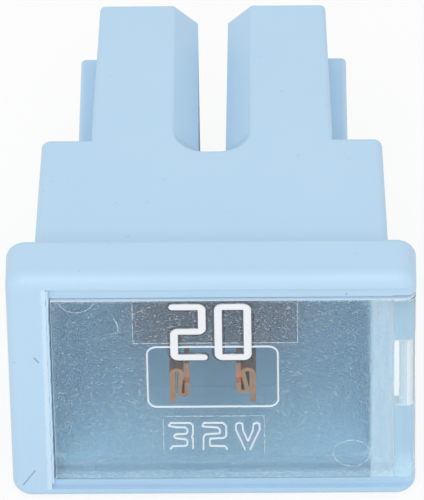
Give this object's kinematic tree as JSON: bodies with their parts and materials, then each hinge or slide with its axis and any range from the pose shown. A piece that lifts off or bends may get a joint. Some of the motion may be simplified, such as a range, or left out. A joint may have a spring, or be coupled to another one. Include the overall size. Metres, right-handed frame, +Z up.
{
  "type": "midget fuse",
  "caption": "Plug-in cartridge fuse with a sliding clear window in its flange, a folded copper element, and terminal towers with slot mouths for flat tabs.",
  "frame": {"origin": "centre of the bottom of the bounding box, in the plane of the lower broad face of the flange", "axes": "+X across the fuse towards the open end of the cover's guides, +Y from the window face to the tower tips, +Z up through the broad side"},
  "size_m": [0.0208, 0.0224, 0.0157],
  "materials": {
    "housing_plastic": "satin moulded plastic, light blue",
    "clear_plastic": "clear moulded plastic, frosted round a polished pane",
    "element_copper": "bare stamped copper alloy"
  },
  "bodies": {
    "root": {"housing": "housing_plastic", "window_cover": "clear_plastic", "fuse_element": "element_copper"}
  },
  "joints": []
}
